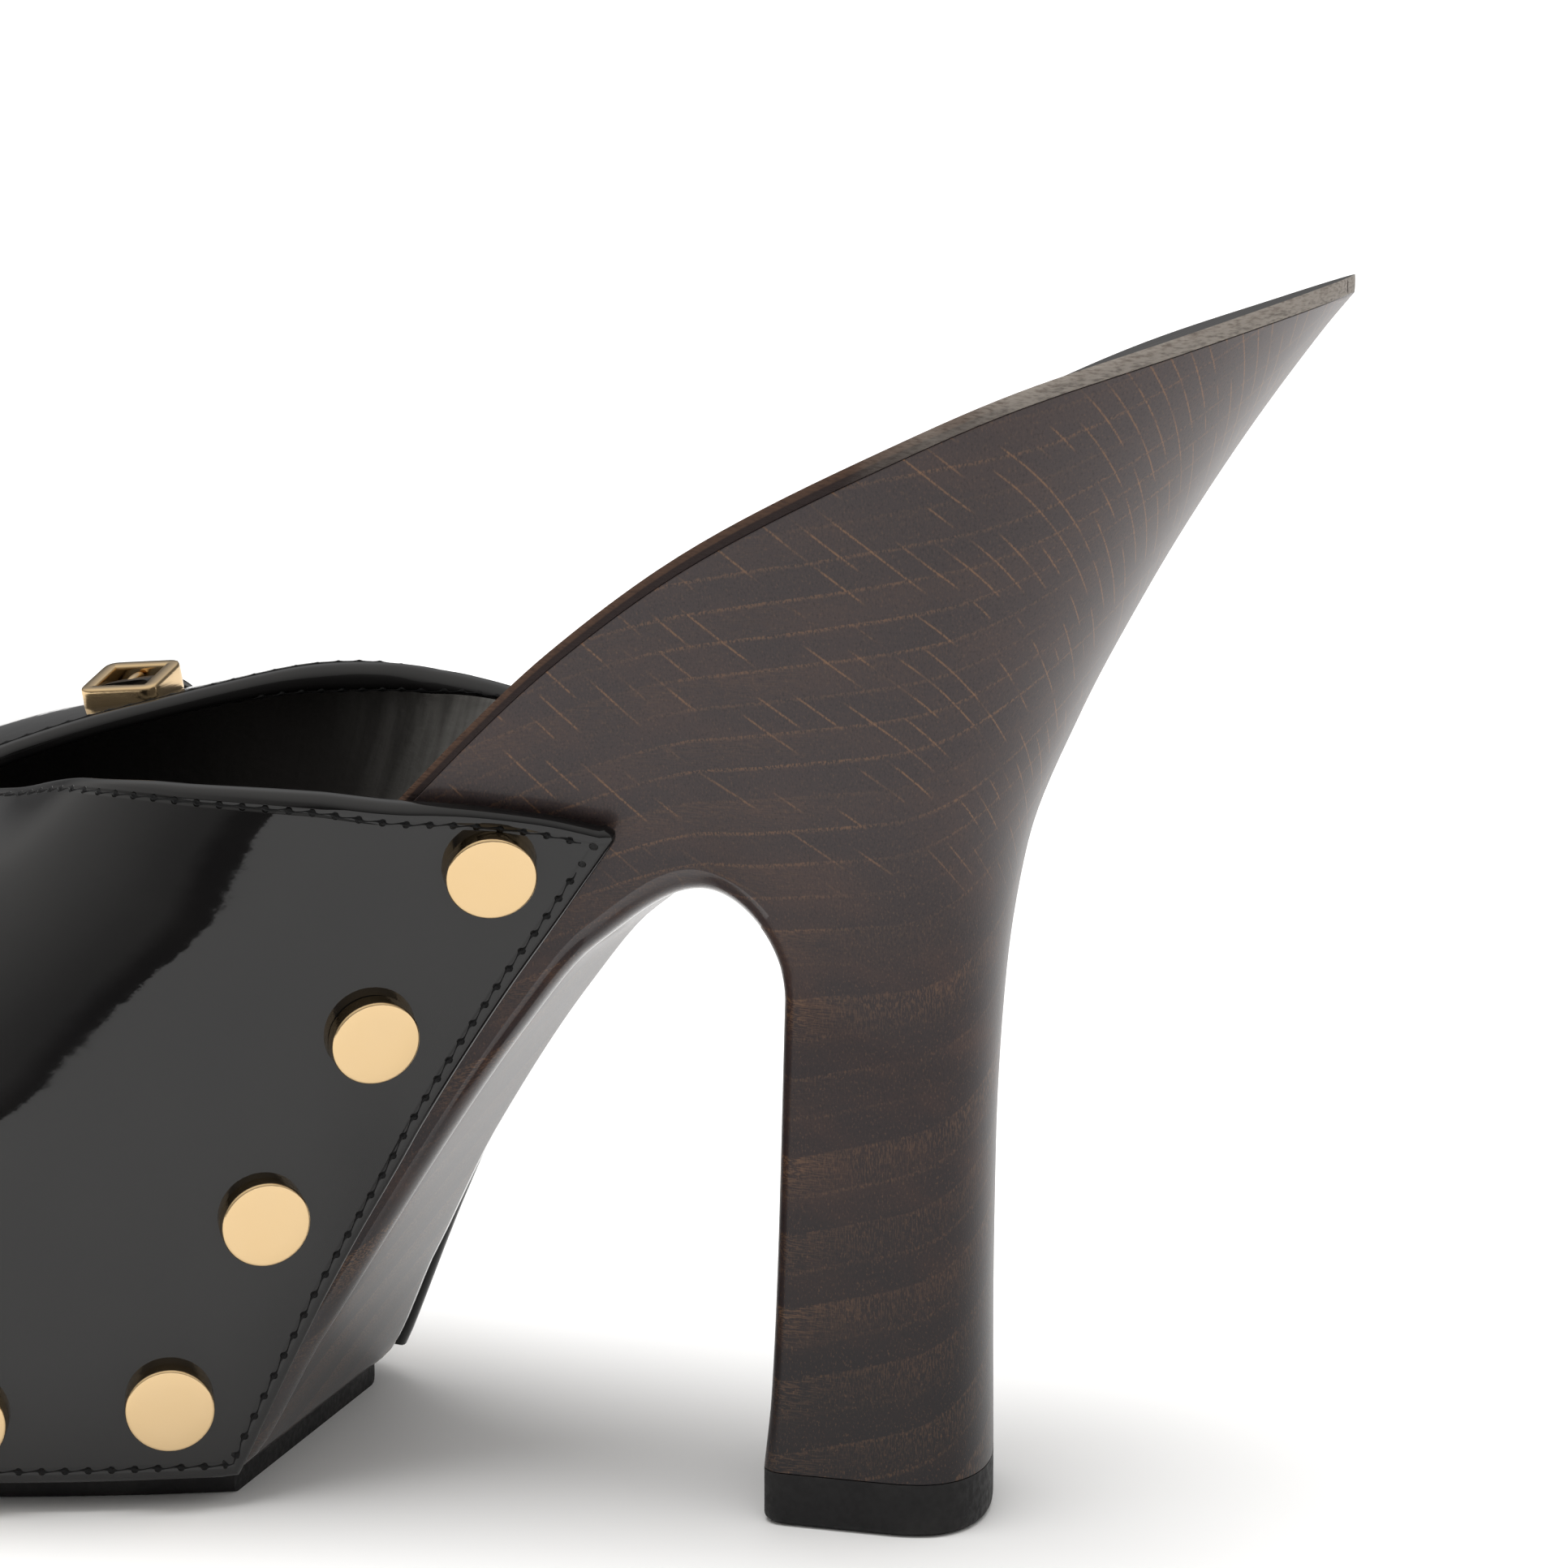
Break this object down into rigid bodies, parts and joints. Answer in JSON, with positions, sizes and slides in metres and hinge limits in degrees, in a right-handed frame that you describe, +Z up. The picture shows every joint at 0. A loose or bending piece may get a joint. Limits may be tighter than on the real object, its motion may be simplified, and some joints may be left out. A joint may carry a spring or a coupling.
{
  "type": "clog",
  "caption": "High-heeled clog for the left foot: carved wooden sole with an open arch, and an open-backed patent leather upper nailed round its edge, with V throat, thin side strap and buckle.",
  "frame": {"origin": "on the floor, under the middle of the shoe's box", "axes": "+Z up, +Y from toe to heel, +X to the outer side of the foot"},
  "size_m": [0.0808, 0.2171, 0.1183],
  "materials": {
    "stained_wood": "dark brown stain with tan grain, satin",
    "black_rubber": "matte black",
    "patent_leather": "black patent, high gloss",
    "insole_leather": "smooth black, satin",
    "polished_gold": "polished gold colour"
  },
  "bodies": {
    "root": {"sole": "stained_wood", "heel_top_piece": "black_rubber", "outsole_forefoot": "black_rubber", "insole": "insole_leather", "upper": "patent_leather", "strap": "patent_leather", "buckle_frame": "polished_gold", "buckle_prong": "polished_gold", "stud_01": "polished_gold", "stud_02": "polished_gold", "stud_03": "polished_gold", "stud_04": "polished_gold", "stud_05": "polished_gold", "stud_06": "polished_gold", "stud_07": "polished_gold", "stud_08": "polished_gold", "stud_09": "polished_gold", "stud_10": "polished_gold", "stud_11": "polished_gold", "stud_12": "polished_gold", "stud_13": "polished_gold", "stud_14": "polished_gold", "stud_15": "polished_gold", "stud_16": "polished_gold", "stud_17": "polished_gold", "stud_18": "polished_gold", "stud_19": "polished_gold", "stud_20": "polished_gold"}
  },
  "joints": []
}
